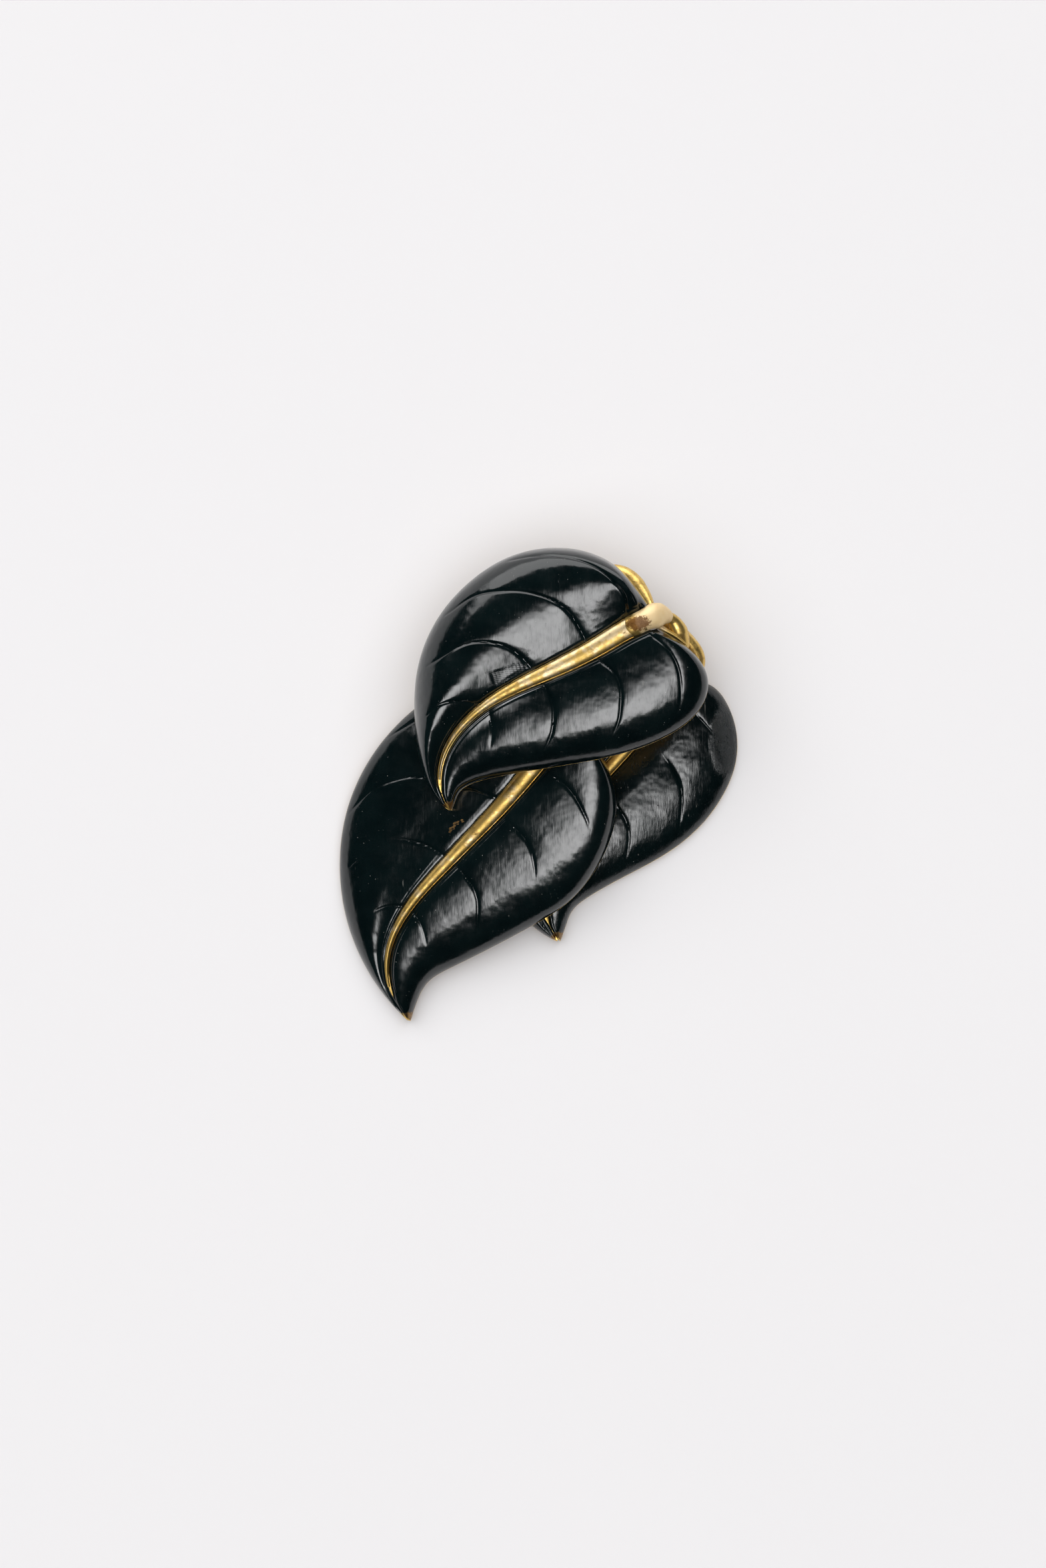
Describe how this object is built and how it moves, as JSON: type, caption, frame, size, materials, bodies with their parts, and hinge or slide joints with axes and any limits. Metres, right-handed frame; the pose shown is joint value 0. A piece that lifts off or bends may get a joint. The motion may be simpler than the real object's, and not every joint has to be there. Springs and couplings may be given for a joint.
{
  "type": "leaf brooch",
  "caption": "Brooch of overlapping domed leaves in black enamel on gilt castings, with gilt midribs, curled stems, and a hinged pin with a turning catch at the back.",
  "frame": {"origin": "centre of the bounding box's lowest face, on the surface the back rests on", "axes": "+Z out of the front, the enamelled side; +Y towards the end where the top leaf is; +X to the right as seen from the front"},
  "size_m": [0.0599, 0.071, 0.0179],
  "materials": {
    "enamel": "glossy green-black vitreous enamel with fine pits and scratches",
    "gilt": "polished gilding, worn to pale brass on the high places",
    "fittings": "satin nickel plate",
    "pin_wire": "drawn and polished steel wire"
  },
  "bodies": {
    "brooch": {"top_leaf_casting": "gilt", "top_leaf_outer_enamel": "enamel", "top_leaf_inner_enamel": "enamel", "top_leaf_midrib": "gilt", "left_leaf_casting": "gilt", "left_leaf_outer_enamel": "enamel", "left_leaf_inner_enamel": "enamel", "left_leaf_midrib": "gilt", "right_leaf_casting": "gilt", "right_leaf_outer_enamel": "enamel", "right_leaf_inner_enamel": "enamel", "right_leaf_midrib": "gilt", "stem_knot": "gilt", "left_stem": "gilt", "right_stem": "gilt", "top_curl": "gilt", "upper_tie_post": "gilt", "lower_tie_post": "gilt", "back_strap": "gilt", "strap_post_near": "gilt", "strap_post_far": "gilt", "hinge_base": "fittings", "hinge_rivet": "fittings", "catch_base": "fittings"},
    "pin": {"pin_stem": "pin_wire"},
    "roller": {"catch_roller": "fittings"}
  },
  "joints": [
    {"name": "pin_swing", "type": "hinge", "parent": "brooch", "child": "pin", "pos_m": [0.0003, 0.0057, 0.0019], "axis": [0.8952, -0.4456, 0], "range_deg": [0, 100]},
    {"name": "roller_turn", "type": "hinge", "parent": "brooch", "child": "roller", "pos_m": [-0.011, -0.017, 0.0019], "axis": [-0.4456, -0.8952, 0], "range_deg": [0, 110]}
  ]
}
